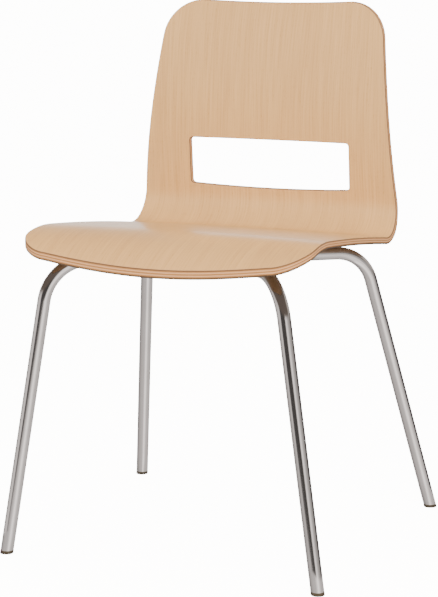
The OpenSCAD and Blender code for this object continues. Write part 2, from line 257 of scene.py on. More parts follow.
def slot_outline(depth):
    reach = SLOT_HALF - SLOT_R
    low, high = SLOT_Z + SLOT_R, SLOT_Z + SLOT_H - SLOT_R
    x = np.linspace(-reach, reach, N_SLOT_SIDE)
    bottom = np.stack([x, SLOT_Z - SLOT_BOW * (1 - (x / reach) ** 2)], -1)
    x = np.linspace(reach, -reach, N_SLOT_SIDE)[1:-1]
    top = np.stack([x, np.full_like(x, SLOT_Z + SLOT_H)], -1)
    p = np.vstack([
        bottom,
        slot_corner(reach, low, -90)[1:],
        slot_corner(reach, high, 0),
        top,
        slot_corner(-reach, high, 90),
        slot_corner(-reach, low, 180)[:-1],
    ])
    return np.stack([p[:, 0], s_from_height(p[:, 1], depth)], -1)


print("outline points", len(outline(0)), "slot points", len(slot_outline(0)))


# %% [markdown]
# ## The shell's mesh
# The trimmed shell has two veneered faces and a sanded wall of plies with a small
# arris, its eased corner, along each face. A boolean cut and a bevel could make the
# slot and the arris, but they leave messy triangles on a bent face. So each face is
# filled with small even triangles inside its outline, and rings of points make the
# arrises and the wall. Every ring knows its depth, which later places the plies.

# %% Build the shell
ARRIS = 1.4 * MM
# a second ring of points follows each edge at this distance
RIM = 4 * MM
CELL = 8 * MM
ROW_PITCH = CELL * 0.9
KEEP_CLEAR = CELL * 0.45
# the rows of points reach past the shell on every side
GRID_HALF = 0.23
GRID_START, GRID_OVER = -0.03, 0.02
SAME_POINT = 1e-7
# where along the curve of each arris its rings of points stand
FRONT_ARRIS = (0.35, 0.7, 1.0)
REAR_ARRIS = (0.0, 0.3, 0.65)


def inward(loop, sign):
    """Unit normals of a closed loop, towards the material."""
    d = np.roll(loop, -1, 0) - np.roll(loop, 1, 0)
    n = np.stack([-d[:, 1], d[:, 0]], -1) * sign
    return n / np.linalg.norm(n, axis=1)[:, None]


def inside(points, loop):
    x, y = points[:, 0], points[:, 1]
    hit = np.zeros(len(points), bool)
    for (x0, y0), (x1, y1) in zip(loop, np.roll(loop, -1, 0)):
        if y0 != y1:
            cross = (y0 > y) != (y1 > y)
            hit ^= cross & (x < (x1 - x0) * (y - y0) / (y1 - y0) + x0)
    return hit


def loop_distance(points, loop):
    best = np.full(len(points), np.inf)
    for p0, p1 in zip(loop, np.roll(loop, -1, 0)):
        e = p1 - p0
        t = np.clip(((points - p0) @ e) / (e @ e), 0, 1)
        best = np.minimum(best, np.linalg.norm(points - p0 - t[:, None] * e, axis=1))
    return best


def fill_face(rings, holes):
    """Triangles between an outer ring and a hole ring, with even cells inside."""
    outer, slot = rings[0], holes[0]
    gx = np.arange(-GRID_HALF, GRID_HALF, CELL)
    gs = np.arange(GRID_START, S_TOP + GRID_OVER, ROW_PITCH)
    grid = np.array([(x + (CELL / 2 if j % 2 else 0), s) for j, s in enumerate(gs) for x in gx])
    grid = grid[inside(grid, rings[-1]) & ~inside(grid, holes[-1])]
    clear = np.minimum(loop_distance(grid, rings[-1]), loop_distance(grid, holes[-1]))
    grid = grid[clear > KEEP_CLEAR]
    pts, edges = [], []
    for loop in rings + holes:
        start = len(pts)
        pts.extend(map(tuple, loop))
        n = len(loop)
        edges.extend((start + i, start + (i + 1) % n) for i in range(n))
    pts.extend(map(tuple, grid))
    out = delaunay_2d_cdt([Vector(p) for p in pts], edges, [], 0, SAME_POINT)
    verts = np.array([tuple(v) for v in out[0]])
    tris = np.array([tuple(f) for f in out[2]])
    mid = verts[tris].mean(1)
    tris = tris[inside(mid, outer) & ~inside(mid, slot)]
    index = {}
    for new, olds in enumerate(out[3]):
        for old in olds:
            index[old] = new
    return verts, tris, index


def rounded(start, corner, end, t):
    return (1 - t) ** 2 * start + 2 * t * (1 - t) * corner + t * t * end


def build_shell():
    verts, faces, slots, uvs = [], [], [], []
    face_rings = {}
    for depth, side in ((0.0, 1), (PLY_T, -1)):
        out, hole = outline(depth), slot_outline(depth)
        n_out, n_hole = inward(out, 1), inward(hole, -1)
        rings = [out + n_out * ARRIS, out + n_out * RIM]
        holes = [hole + n_hole * ARRIS, hole + n_hole * RIM]
        flat, tris, index = fill_face(rings, holes)
        base = len(verts)
        verts.extend(surface(flat[:, 0], flat[:, 1], depth))
        for t in tris:
            t = t if side > 0 else t[::-1]
            faces.append(tuple(int(v) + base for v in t))
            slots.append(0)
            uvs.append([tuple(flat[v]) for v in t])
        n0, n1 = len(out), 2 * len(out)
        face_rings[side] = (
            [index[i] + base for i in range(n0)],
            [index[n1 + i] + base for i in range(len(hole))],
        )
    # the arris and the wall, ring after ring, outside and in the slot
    for which, get in ((0, outline), (1, slot_outline)):
        sign = 1 if which == 0 else -1
        a2, b2 = get(0.0), get(PLY_T)
        top = surface(a2[:, 0], a2[:, 1], 0.0)
        low = surface(b2[:, 0], b2[:, 1], PLY_T)
        down = (low - top) / np.linalg.norm(low - top, axis=1)[:, None]
        start_top = np.array([verts[i] for i in face_rings[1][which]])
        start_low = np.array([verts[i] for i in face_rings[-1][which]])
        rings, depths = [face_rings[1][which]], [0.0]
        steps = []
        for t in FRONT_ARRIS:
            steps.append((rounded(start_top, top, top + down * ARRIS, t), t * ARRIS))
        for t in REAR_ARRIS:
            p = rounded(low - down * ARRIS, low, start_low, t)
            steps.append((p, PLY_T - (1 - t) * ARRIS))
        for p, d in steps:
            base = len(verts)
            verts.extend(p)
            rings.append(list(range(base, base + len(p))))
            depths.append(d)
        rings.append(face_rings[-1][which])
        depths.append(PLY_T)
        lengths = np.linalg.norm(np.roll(top, -1, 0) - top, axis=1)
        run = np.concatenate([[0], np.cumsum(lengths)])
        n = len(top)
        for k in range(len(rings) - 1):
            for i in range(n):
                j = (i + 1) % n
                quad = (rings[k][i], rings[k + 1][i], rings[k + 1][j], rings[k][j])
                uv = [(run[i], depths[k]), (run[i], depths[k + 1]),
                      (run[i + 1], depths[k + 1]), (run[i + 1], depths[k])]
                if sign < 0:
                    quad, uv = quad[::-1], uv[::-1]
                faces.append(quad)
                slots.append(1)
                uvs.append(uv)
    mesh = bpy.data.meshes.new("plywood_shell")
    mesh.from_pydata([tuple(v) for v in verts], [], faces)
    layer = mesh.uv_layers.new(name="grain")
    flat_uv = np.array([c for face in uvs for c in face], np.float32).ravel()
    layer.data.foreach_set("uv", flat_uv)
    mesh.polygons.foreach_set("material_index", np.array(slots, np.int32))
    mesh.polygons.foreach_set("use_smooth", np.ones(len(faces), bool))
    mesh.validate()
    mesh.update()
    return mesh


def add_piece(name, mesh, slot_name, *cad_nodes):
    piece = bpy.data.objects.new(name, mesh)
    bpy.context.scene.collection.objects.link(piece)
    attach(piece, "root")
    if cad_nodes:
        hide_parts(*cad_nodes)
    return piece


shell = add_piece("plywood_shell", build_shell(), "plywood", "shell")
# big faces decide the shading, so the veneer stays calm up to the arris
weighted = shell.modifiers.new("even shading", "WEIGHTED_NORMAL")
weighted.weight = 80
weighted.keep_sharp = False
print("shell", len(shell.data.vertices), "vertices", len(shell.data.polygons), "faces")

# %% [markdown]
# ## The legs
# Each tube runs from foot to foot: a leg, a wide bend, a run under the seat, the
# middle bend, and the same again. A bevelled curve could make it, but its ends would
# be cut square to the tube, and these are cut level. So a round section follows a
# centre line made of the bender's own radii, and its last ring slides to the cut.

# %% Tube centre lines
MID_Z = FRAME_Z + (TOPS["rear"][1] - FRAME_MID_Y) * math.tan(FRAME_TILT)
# points in each half of the middle bend, along the run, in a leg's bend and down a leg
N_MID_BEND, N_RUN, N_LEG_BEND, N_LEG = 22, 4, 30, 13
TUBE_SIDES = 56
# at each open end: a small lip, an eased edge, and the bore a little way in
END_LIP = 0.0005
EASED = 0.975
BORE = 0.84
BORE_DEEP = 0.012


def to_chair(x, v):
    """From the tilted plane of the tube frame to the chair."""
    return Vector((
        x,
        FRAME_MID_Y + v * math.cos(FRAME_TILT),
        MID_Z - v * math.sin(FRAME_TILT),
    ))


def half_path(which):
    side = 1 if which == "rear" else -1
    top_x, top_y = TOPS[which]
    top_v = side * (top_y - FRAME_MID_Y) / math.cos(FRAME_TILT)
    centre = HALF_GAP + MID_BEND_R
    far = math.hypot(top_x, top_v - centre)
    touch = math.atan2(top_v - centre, top_x) - math.acos(MID_BEND_R / far)
    turn = math.pi / 2 + touch
    pts = [to_chair(MID_BEND_R * math.sin(t), side * (centre - MID_BEND_R * math.cos(t)))
           for t in np.linspace(0, turn, N_MID_BEND)]
    corner = to_chair(top_x, side * top_v)
    foot = FEET[which]
    run = (corner - pts[-1]).normalized()
    leg = (foot - corner).normalized()
    bend = run.angle(leg)
    cut = LEG_BEND_R * math.tan(bend / 2)
    start = corner - run * cut
    pts += [pts[-1].lerp(start, t) for t in np.linspace(0, 1, N_RUN + 1)[1:]]
    inner = (leg - run * leg.dot(run)).normalized()
    middle = start + inner * LEG_BEND_R
    for t in np.linspace(0, bend, N_LEG_BEND)[1:]:
        pts.append(middle - inner * LEG_BEND_R * math.cos(t) + run * LEG_BEND_R * math.sin(t))
    leg_top = pts[-1]
    end = foot - leg * (-GLIDE_T / leg.z)
    pts += [leg_top.lerp(end, t) for t in np.linspace(0, 1, N_LEG)[1:]]
    return pts, leg


def whole_path(which):
    half, leg = half_path(which)
    left = [Vector((-p.x, p.y, p.z)) for p in half[:0:-1]]
    return left + half, leg


def ring_round(centre, side, up, radius, n):
    return [centre + side * (radius * math.cos(2 * math.pi * k / n))
            + up * (radius * math.sin(2 * math.pi * k / n)) for k in range(n)]


def slide_level(ring, direction, z):
    """Moves a ring's points along the leg to one height, as a level saw cut does."""
    return [p + direction * ((z - p.z) / direction.z) for p in ring]


def skin(name, rings, lengths, closed_ends=False):
    """Quads between rings of points, with length along v and girth along u."""
    n = len(rings[0])
    verts = [tuple(p) for r in rings for p in r]
    faces, uvs = [], []
    girth = 2 * math.pi * TUBE_R / n
    for k in range(len(rings) - 1):
        for i in range(n):
            j = (i + 1) % n
            faces.append((k * n + i, k * n + j, (k + 1) * n + j, (k + 1) * n + i))
            uvs += [(i * girth, lengths[k]), ((i + 1) * girth, lengths[k]),
                    ((i + 1) * girth, lengths[k + 1]), (i * girth, lengths[k + 1])]
    if closed_ends:
        for k, order in ((0, -1), (len(rings) - 1, 1)):
            loop = [k * n + i for i in range(n)][::order]
            faces.append(tuple(loop))
            uvs += [(verts[i][0], verts[i][1]) for i in loop]
    mesh = bpy.data.meshes.new(name)
    mesh.from_pydata(verts, [], faces)
    layer = mesh.uv_layers.new(name="grain")
    layer.data.foreach_set("uv", np.array(uvs, np.float32).ravel())
    mesh.polygons.foreach_set("use_smooth", np.ones(len(faces), bool))
    mesh.update()
    return mesh


def build_tube(which, name):
    path, leg = whole_path(which)
    side = (path[1] - path[0]).normalized().orthogonal().normalized()
    rings, lengths, run = [], [], 0.0
    for k, p in enumerate(path):
        if k:
            run += (p - path[k - 1]).length
        after = path[min(k + 1, len(path) - 1)] - p
        before = p - path[max(k - 1, 0)]
        tangent = (after.normalized() + before.normalized()).normalized()
        side = (side - tangent * side.dot(tangent)).normalized()
        rings.append(ring_round(p, side, tangent.cross(side), TUBE_R, TUBE_SIDES))
        lengths.append(run)
    left_leg = Vector((-leg.x, leg.y, leg.z))
    for k, d in ((0, left_leg), (len(path) - 1, leg)):
        full = slide_level(rings[k], d, GLIDE_T)
        centre = sum(full, Vector()) / TUBE_SIDES
        wall = [centre + (p - centre) * BORE for p in full]
        deep = [p - d * BORE_DEEP for p in wall]
        eased = [centre + (p - centre) * EASED for p in full]
        lip = [p - d * END_LIP for p in full]
        tail = [lip, eased, wall, deep]
        spots = [END_LIP, 0.0, 0.0, BORE_DEEP]
        if k == 0:
            rings[0:1] = tail[::-1]
            lengths[0:1] = spots[::-1]
        else:
            rings[-1:] = tail
            lengths[-1:] = [lengths[-1] - s for s in spots]
    return skin(name, rings, lengths)


front_legs = add_piece("front_legs", build_tube("front", "front_legs"), "chrome_tube", "front_tube")
rear_legs = add_piece("rear_legs", build_tube("rear", "rear_legs"), "chrome_tube", "rear_tube")
print("tubes", len(front_legs.data.vertices), len(rear_legs.data.vertices), "vertices")

# %% [markdown]
# ## The glides
# A dark moulded pad sits under each leg end, cut level, with softened edges and a plug
# that goes up inside the tube. A bevelled cylinder would stand on one edge, because
# the leg leans. Level rings of changing radius, slid along the leg, give it in one skin.

# %% Build the glides
GLIDE_SIDES = 48
PAD_R = TUBE_R + 0.2 * MM
PLUG_R = TUBE_R - 1.55 * MM
# height above the floor in millimetres, and radius
GLIDE_RINGS = [
    (0.0, PAD_R - 6 * MM),
    (0.0, PAD_R - 1.1 * MM),
    (0.1, PAD_R - 0.6 * MM),
    (0.35, PAD_R - 0.25 * MM),
    (0.9, PAD_R),
    (4.2, PAD_R),
    (4.7, PAD_R - 0.15 * MM),
    (4.95, PAD_R - 0.45 * MM),
    (5.0, PAD_R - 0.9 * MM),
    (5.0, PLUG_R),
    (20.0, PLUG_R),
    (22.0, PLUG_R - 1.2 * MM),
]


def build_glide(which, mirrored, name):
    _, leg = half_path(which)
    foot = FEET[which].copy()
    d = -leg
    if mirrored:
        foot.x, d.x = -foot.x, -d.x
    side = d.orthogonal().normalized()
    up = d.cross(side)
    rings, lengths = [], []
    for z, r in GLIDE_RINGS:
        centre = foot + d * (z * MM / d.z)
        rings.append(slide_level(ring_round(centre, side, up, r, GLIDE_SIDES), d, z * MM))
        lengths.append(z * MM)
    return skin(name, rings, lengths, closed_ends=True)


glides = []
for which in ("front", "rear"):
    for hand, mirrored in (("left", False), ("right", True)):
        name = f"glide_pad_{which}_{hand}"
        mesh = build_glide(which, mirrored, name)
        glides.append(add_piece(name, mesh, "glide_plastic", f"glide_{which}_{hand}"))
print("glides", [g.name for g in glides])

# %% [markdown]
# ## Materials
# Every finish is worked out by shader nodes, so it needs no image and stays sharp
# close up. The nodes could be wired one by one, but the same steps come back in every
# material, so small helpers keep the trees short. Shared effects are node groups that
# give colours, masks and heights.

# %% Node helpers
# a Mix node's sockets for its factor and two colours, and its colour result
MIX_FACTOR, MIX_A, MIX_B, MIX_COLOR = 0, 6, 7, 2


def fill_sockets(tree, node, inputs):
    for key, value in inputs.items():
        if isinstance(value, bpy.types.NodeSocket):
            tree.links.new(value, node.inputs[key])
        else:
            node.inputs[key].default_value = value


def put(tree, kind, inputs=None, **settings):
    made = tree.nodes.new(kind)
    for key, value in settings.items():
        setattr(made, key, value)
    fill_sockets(tree, made, inputs or {})
    return made


def new_group(name, inputs, outputs):
    tree = bpy.data.node_groups.new(name, "ShaderNodeTree")
    for label, kind in inputs:
        tree.interface.new_socket(label, in_out="INPUT", socket_type=kind)
    for label, kind in outputs:
        tree.interface.new_socket(label, in_out="OUTPUT", socket_type=kind)
    give = tree.nodes.new("NodeGroupInput").outputs
    return tree, give, tree.nodes.new("NodeGroupOutput").inputs


def maths(tree, op, a, b=0.0):
    return put(tree, "ShaderNodeMath", {0: a, 1: b}, operation=op).outputs[0]


def mixed(tree, a, b, factor):
    inputs = {MIX_FACTOR: factor, MIX_A: a, MIX_B: b}
    return put(tree, "ShaderNodeMix", inputs, data_type="RGBA").outputs[MIX_COLOR]


def scaled(tree, vector, scale):
    return put(tree, "ShaderNodeMapping", {"Vector": vector, "Scale": scale}).outputs[0]


def noise(tree, vector, scale=1.0, detail=2.0, rough=0.5, warp=0.0):
    made = put(tree, "ShaderNodeTexNoise", {"Vector": vector, "Scale": scale, "Detail": detail,
                                            "Roughness": rough, "Distortion": warp})
    return made.outputs["Fac"]


def spread(tree, value, low, high, out_low=0.0, out_high=1.0):
    made = put(tree, "ShaderNodeMapRange", {"Value": value, "From Min": low, "From Max": high,
                                            "To Min": out_low, "To Max": out_high})
    made.clamp = True
    return made.outputs[0]


def new_material(name):
    mat = bpy.data.materials.new(name)
    mat.use_nodes = True
    tree = mat.node_tree
    return mat, tree, tree.nodes["Principled BSDF"]


def join(tree, socket, target):
    tree.links.new(socket, target)


def bump(tree, height, strength, distance):
    made = put(tree, "ShaderNodeBump", {"Height": height, "Strength": strength, "Distance": distance})
    return made.outputs[0]


# %% [markdown]
# ### Wood
# Veneer has broad bands of tone, narrow streaks, long fibres and short dark flecks,
# all running from the front of the seat to the top of the back. A single wave texture
# would look printed, so each is its own noise, stretched along the grain, and they are
# added up. The block under the seat uses the same group in other colours.

# %% Wood grain group
def wood_grain_group():
    tree, give, take = new_group(
        "Wood grain",
        [("Place", "NodeSocketVector"), ("Light", "NodeSocketColor"),
         ("Dark", "NodeSocketColor"), ("Fleck", "NodeSocketColor")],
        [("Color", "NodeSocketColor"), ("Roughness", "NodeSocketFloat"), ("Height", "NodeSocketFloat")],
    )
    place = give["Place"]
    # the figure leans and wanders a little, as it does in a sliced log
    drift = noise(tree, scaled(tree, place, (3.2, 1.3, 1)), 1.0, 2.0, 0.55)
    parts = put(tree, "ShaderNodeSeparateXYZ", {0: place}).outputs
    bent_x = maths(tree, "ADD", parts[0], maths(tree, "MULTIPLY", drift, 0.05))
    bent = put(tree, "ShaderNodeCombineXYZ", {0: bent_x, 1: parts[1], 2: 0.0}).outputs[0]
    broad = noise(tree, scaled(tree, place, (9, 1.6, 1)), 1.0, 2.0, 0.5)
    bands = noise(tree, scaled(tree, bent, (70, 1.2, 1)), 1.0, 3.0, 0.6)
    streaks = noise(tree, scaled(tree, bent, (430, 9, 1)), 1.0, 2.0, 0.6)
    fibre = noise(tree, scaled(tree, bent, (1300, 16, 1)), 1.0, 3.0, 0.65)
    pores = noise(tree, scaled(tree, bent, (1900, 130, 1)), 1.0, 1.0, 0.4)
    flecks = spread(tree, pores, 0.63, 0.70)
    where = spread(tree, streaks, 0.40, 0.65)
    flecks = maths(tree, "MULTIPLY", flecks, where)
    tone = maths(tree, "MULTIPLY", spread(tree, bands, 0.30, 0.70), 0.30)
    tone = maths(tree, "ADD", tone, maths(tree, "MULTIPLY", spread(tree, broad, 0.35, 0.65), 0.16))
    tone = maths(tree, "ADD", tone, maths(tree, "MULTIPLY", spread(tree, streaks, 0.32, 0.68), 0.50))
    tone = maths(tree, "ADD", tone, maths(tree, "MULTIPLY", spread(tree, fibre, 0.30, 0.70), 0.16))
    color = mixed(tree, give["Light"], give["Dark"], tone)
    color = mixed(tree, color, give["Fleck"], maths(tree, "MULTIPLY", flecks, 0.55))
    join(tree, color, take["Color"])
    join(tree, spread(tree, fibre, 0.3, 0.7, 0.30, 0.42), take["Roughness"])
    height = maths(tree, "MULTIPLY", fibre, 0.5)
    height = maths(tree, "ADD", height, maths(tree, "MULTIPLY", streaks, 0.4))
    height = maths(tree, "SUBTRACT", height, maths(tree, "MULTIPLY", flecks, 0.6))
    join(tree, height, take["Height"])
    return tree


wood_grain = wood_grain_group()


def use_group(tree, group, **inputs):
    return put(tree, "ShaderNodeGroup", inputs, node_tree=group).outputs


def veneer_material():
    mat, tree, shader = new_material("Pale veneer")
    place = put(tree, "ShaderNodeUVMap", uv_map="grain").outputs[0]
    out = use_group(tree, wood_grain, Place=place, Light=(0.82, 0.548, 0.295, 1),
                    Dark=(0.62, 0.390, 0.200, 1), Fleck=(0.42, 0.22, 0.09, 1))
    join(tree, out["Color"], shader.inputs["Base Color"])
    join(tree, out["Roughness"], shader.inputs["Roughness"])
    join(tree, bump(tree, out["Height"], 0.10, 0.0004), shader.inputs["Normal"])
    shader.inputs["Coat Weight"].default_value = 0.42
    shader.inputs["Coat Roughness"].default_value = 0.22
    return mat


PLIES = 7
# how far from the nearer face the painted shade line along each arris sits, and how it fades
ARRIS_SHADE_DEPTH = 0.75 * MM
ARRIS_SHADE_CORE, ARRIS_SHADE_FADE = 0.35 * MM, 0.75 * MM
# depths where the edge starts to darken towards the rear face, and where it is fully dark
REAR_DARK_START, REAR_DARK_FULL = PLY_T - 2.9 * MM, PLY_T - 2.4 * MM


def ply_edge_material():
    """Long and cross plies in turn, thin glue lines, painted shade lines along both arrises, and darker
    towards the rear face.
    """
    mat, tree, shader = new_material("Plywood edge")
    place = put(tree, "ShaderNodeUVMap", uv_map="grain").outputs[0]
    parts = put(tree, "ShaderNodeSeparateXYZ", {0: place}).outputs
    wander = noise(tree, scaled(tree, place, (14, 40, 1)), 1.0, 2.0)
    off = maths(tree, "MULTIPLY", maths(tree, "SUBTRACT", wander, 0.5), 0.0004)
    layer = maths(tree, "DIVIDE", maths(tree, "ADD", parts[1], off), PLY_T / PLIES)
    cross = spread(tree, maths(tree, "PINGPONG", layer, 1.0), 0.44, 0.56)
    near_glue = maths(tree, "PINGPONG", maths(tree, "ADD", layer, 0.5), 0.5)
    glue = spread(tree, near_glue, 0.0, 0.08, 1.0, 0.0)
    grain = noise(tree, scaled(tree, place, (260, 1600, 1)), 1.0, 3.0, 0.6)
    ends = noise(tree, scaled(tree, place, (1800, 500, 1)), 1.0, 2.0, 0.6)
    long_side = mixed(tree, (0.90, 0.57, 0.38, 1), (0.80, 0.48, 0.31, 1), grain)
    end_side = mixed(tree, (0.56, 0.29, 0.145, 1), (0.44, 0.215, 0.10, 1), ends)
    color = mixed(tree, long_side, end_side, cross)
    color = mixed(tree, color, (0.30, 0.15, 0.075, 1), maths(tree, "MULTIPLY", glue, 0.45))
    # distance from the nearer face, so the painted shade lines darken both arrises alike
    from_middle = maths(tree, "ABSOLUTE", maths(tree, "SUBTRACT", parts[1], PLY_T / 2))
    rim = maths(tree, "SUBTRACT", PLY_T / 2, from_middle)
    line = maths(tree, "ABSOLUTE", maths(tree, "SUBTRACT", rim, ARRIS_SHADE_DEPTH))
    painted_arris_shade = spread(tree, line, ARRIS_SHADE_CORE, ARRIS_SHADE_FADE, 1.0, 0.0)
    # painted shade: a dark line along each arris of the edge
    color = mixed(tree, color, (0.11, 0.075, 0.055, 1), maths(tree, "MULTIPLY", painted_arris_shade, 0.88))
    # the edge turns almost black over the last few millimetres towards the rear face
    toward_rear_face = spread(tree, parts[1], REAR_DARK_START, REAR_DARK_FULL)
    color = mixed(tree, color, (0.065, 0.048, 0.040, 1), maths(tree, "MULTIPLY", toward_rear_face, 0.90))
    join(tree, color, shader.inputs["Base Color"])
    join(tree, spread(tree, ends, 0.3, 0.7, 0.42, 0.6), shader.inputs["Roughness"])
    join(tree, bump(tree, ends, 0.25, 0.0003), shader.inputs["Normal"])
    shader.inputs["Coat Weight"].default_value = 0.12
    return mat


shell.data.materials.append(veneer_material())
shell.data.materials.append(ply_edge_material())
print("wood materials", [m.name for m in shell.data.materials])

# %% [markdown]
# ### Metal, rubber and plastic
# The tubes are satin chrome with faint polishing lines along their length. A plain
# mirror would look like liquid, so smudges and fine scratches change its roughness.
# The plate and screws are zinc with small crystals, which Voronoi cells give quickly,
# and a wave texture gives the weld beads their ripples. Buffers and glides are moulded
# and a little dusty, so one recipe with two sets of values makes both. The hardware
# keeps its CAD meshes, which have the true shape, and only gets a finish.

# %% Wear group and metals
def wear_group():
    tree, give, take = new_group(
        "Wear",
        [("Place", "NodeSocketVector"), ("Amount", "NodeSocketFloat")],
        [("Smudge", "NodeSocketFloat"), ("Scratch", "NodeSocketFloat")],
    )
    place = give["Place"]
    cloud = noise(tree, place, 18.0, 4.0, 0.6, 0.4)
    smudge = maths(tree, "MULTIPLY", spread(tree, cloud, 0.42, 0.75), give["Amount"])
    fine = noise(tree, scaled(tree, place, (2600, 30, 1)), 1.0, 2.0, 0.6)
    join(tree, smudge, take["Smudge"])
    join(tree, fine, take["Scratch"])
    return tree


wear = wear_group()


def chrome_material():
    mat, tree, shader = new_material("Satin chrome")
    place = put(tree, "ShaderNodeUVMap", uv_map="grain").outputs[0]
    out = use_group(tree, wear, Place=place, Amount=0.5)
    color = mixed(tree, (0.89, 0.805, 0.765, 1), (0.76, 0.68, 0.64, 1), out["Smudge"])
    join(tree, color, shader.inputs["Base Color"])
    shader.inputs["Metallic"].default_value = 1.0
    rough = maths(tree, "ADD", spread(tree, out["Scratch"], 0.3, 0.7, 0.08, 0.15),
                  maths(tree, "MULTIPLY", out["Smudge"], 0.10))
    join(tree, rough, shader.inputs["Roughness"])
    join(tree, bump(tree, out["Scratch"], 0.03, 0.0001), shader.inputs["Normal"])
    return mat


def object_place(tree):
    return put(tree, "ShaderNodeTexCoord").outputs["Object"]


def zinc_material():
    mat, tree, shader = new_material("Zinc plate")
    place = object_place(tree)
    grains = put(tree, "ShaderNodeTexVoronoi", {"Vector": place, "Scale": 260.0}).outputs["Color"]
    tone = put(tree, "ShaderNodeSeparateXYZ", {0: grains}).outputs[0]
    color = mixed(tree, (0.56, 0.56, 0.54, 1), (0.68, 0.68, 0.66, 1), tone)
    cloud = noise(tree, place, 40.0, 4.0, 0.6)
    color = mixed(tree, color, (0.45, 0.44, 0.40, 1), spread(tree, cloud, 0.5, 0.8, 0.0, 0.5))
    join(tree, color, shader.inputs["Base Color"])
    shader.inputs["Metallic"].default_value = 1.0
    join(tree, spread(tree, cloud, 0.3, 0.7, 0.28, 0.5), shader.inputs["Roughness"])
    join(tree, bump(tree, cloud, 0.1, 0.0004), shader.inputs["Normal"])
    return mat


def weld_material():
    mat, tree, shader = new_material("Weld bead")
    place = object_place(tree)
    ripple = put(tree, "ShaderNodeTexWave", {"Vector": place, "Scale": 120.0, "Distortion": 3.0,
                                             "Detail": 1.0, "Detail Scale": 2.0}).outputs["Fac"]
    heat = noise(tree, place, 60.0, 3.0)
    color = mixed(tree, (0.42, 0.40, 0.38, 1), (0.30, 0.24, 0.20, 1), spread(tree, heat, 0.4, 0.7))
    join(tree, color, shader.inputs["Base Color"])
    shader.inputs["Metallic"].default_value = 0.9
    join(tree, spread(tree, ripple, 0.0, 1.0, 0.35, 0.6), shader.inputs["Roughness"])
    join(tree, bump(tree, ripple, 0.6, 0.0008), shader.inputs["Normal"])
    return mat


def moulded_material(name, dark, light, rough_low, rough_high, grain_scale):
    mat, tree, shader = new_material(name)
    place = object_place(tree)
    skin_grain = noise(tree, place, grain_scale, 3.0, 0.6)
    dust = noise(tree, place, 35.0, 4.0, 0.65)
    color = mixed(tree, dark, light, spread(tree, dust, 0.4, 0.8))
    join(tree, color, shader.inputs["Base Color"])
    join(tree, spread(tree, skin_grain, 0.3, 0.7, rough_low, rough_high), shader.inputs["Roughness"])
    join(tree, bump(tree, skin_grain, 0.25, 0.0003), shader.inputs["Normal"])
    return mat


BLOCK_PLY = 0.0016


def block_material():
    mat, tree, shader = new_material("Laminated block")
    place = object_place(tree)
    parts = put(tree, "ShaderNodeSeparateXYZ", {0: place}).outputs
    layer = maths(tree, "PINGPONG", maths(tree, "DIVIDE", parts[2], BLOCK_PLY), 1.0)
    band = spread(tree, layer, 0.4, 0.6)
    out = use_group(tree, wood_grain, Place=place, Light=(0.60, 0.42, 0.26, 1),
                    Dark=(0.48, 0.31, 0.18, 1), Fleck=(0.30, 0.18, 0.10, 1))
    color = mixed(tree, out["Color"], (0.42, 0.26, 0.15, 1), maths(tree, "MULTIPLY", band, 0.45))
    join(tree, color, shader.inputs["Base Color"])
    shader.inputs["Roughness"].default_value = 0.65
    join(tree, bump(tree, out["Height"], 0.2, 0.0004), shader.inputs["Normal"])
    return mat


chrome = chrome_material()
zinc = zinc_material()
weld = weld_material()
rubber = moulded_material(
    "Black rubber", (0.012, 0.012, 0.012, 1), (0.030, 0.029, 0.028, 1), 0.55, 0.75, 900.0)
glide_plastic = moulded_material(
    "Dark glide", (0.055, 0.047, 0.040, 1), (0.10, 0.09, 0.08, 1), 0.35, 0.55, 700.0)
block = block_material()


def repaint(obj, mat):
    obj.data.materials.clear()
    obj.data.materials.append(mat)


for piece in (front_legs, rear_legs):
    repaint(piece, chrome)
for piece in glides:
    repaint(piece, glide_plastic)
FINISH = {
    "spacer_block": block,
    "insert_nuts": zinc,
    "mounting_plate": zinc,
    "mounting_screws": zinc,
    "spring_washers": zinc,
    "plate_welds": weld,
    "buffer_front_left": rubber,
    "buffer_front_right": rubber,
    "buffer_rear_left": rubber,
    "buffer_rear_right": rubber,
}
for name, mat in FINISH.items():
    repaint(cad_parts[name], mat)
print("painted", len(FINISH), "carried-over nodes")

# %% [markdown]
# ## The floor
# The chair stands on a pale sweep, a floor that curves up into a wall, so there is no
# horizon. Lamps bright enough to turn it white would flood the chair too. So it glows
# for the camera only, and reflections and soft light look past it.

# %% Floor
FLOOR_GLOW = 13.0


def build_floor():
    near, far, radius, height, half = -8.0, 6.0, 3.0, 6.0, 9.0
    line = [(near, 0.0), (far, 0.0)]
    for a in np.linspace(0, math.pi / 2, 25)[1:]:
        line.append((far + radius * math.sin(a), radius - radius * math.cos(a)))
    line.append((far + radius, height))
    verts = [(x, y, z) for y, z in line for x in (-half, half)]
    faces = [(2 * k, 2 * k + 1, 2 * k + 3, 2 * k + 2) for k in range(len(line) - 1)]
    mesh = bpy.data.meshes.new("floor")
    mesh.from_pydata(verts, [], faces)
    mesh.polygons.foreach_set("use_smooth", np.ones(len(faces), bool))
    floor = bpy.data.objects.new("floor", mesh)
    bpy.context.scene.collection.objects.link(floor)
    mat, tree, shader = new_material("Pale floor")
    cloud = noise(tree, object_place(tree), 1.2, 2.0)
    pale = mixed(tree, (0.88, 0.88, 0.88, 1), (0.92, 0.92, 0.92, 1), cloud)
    join(tree, pale, shader.inputs["Base Color"])
    shader.inputs["Roughness"].default_value = 0.9
    shader.inputs["Emission Color"].default_value = (1.0, 1.0, 1.0, 1)
    seen = put(tree, "ShaderNodeLightPath").outputs["Is Camera Ray"]
    join(tree, maths(tree, "MULTIPLY", seen, FLOOR_GLOW), shader.inputs["Emission Strength"])
    repaint(floor, mat)
    floor.visible_glossy = False
    floor.visible_diffuse = False
    print("floor", [round(v, 1) for v in floor.dimensions])


build_floor()

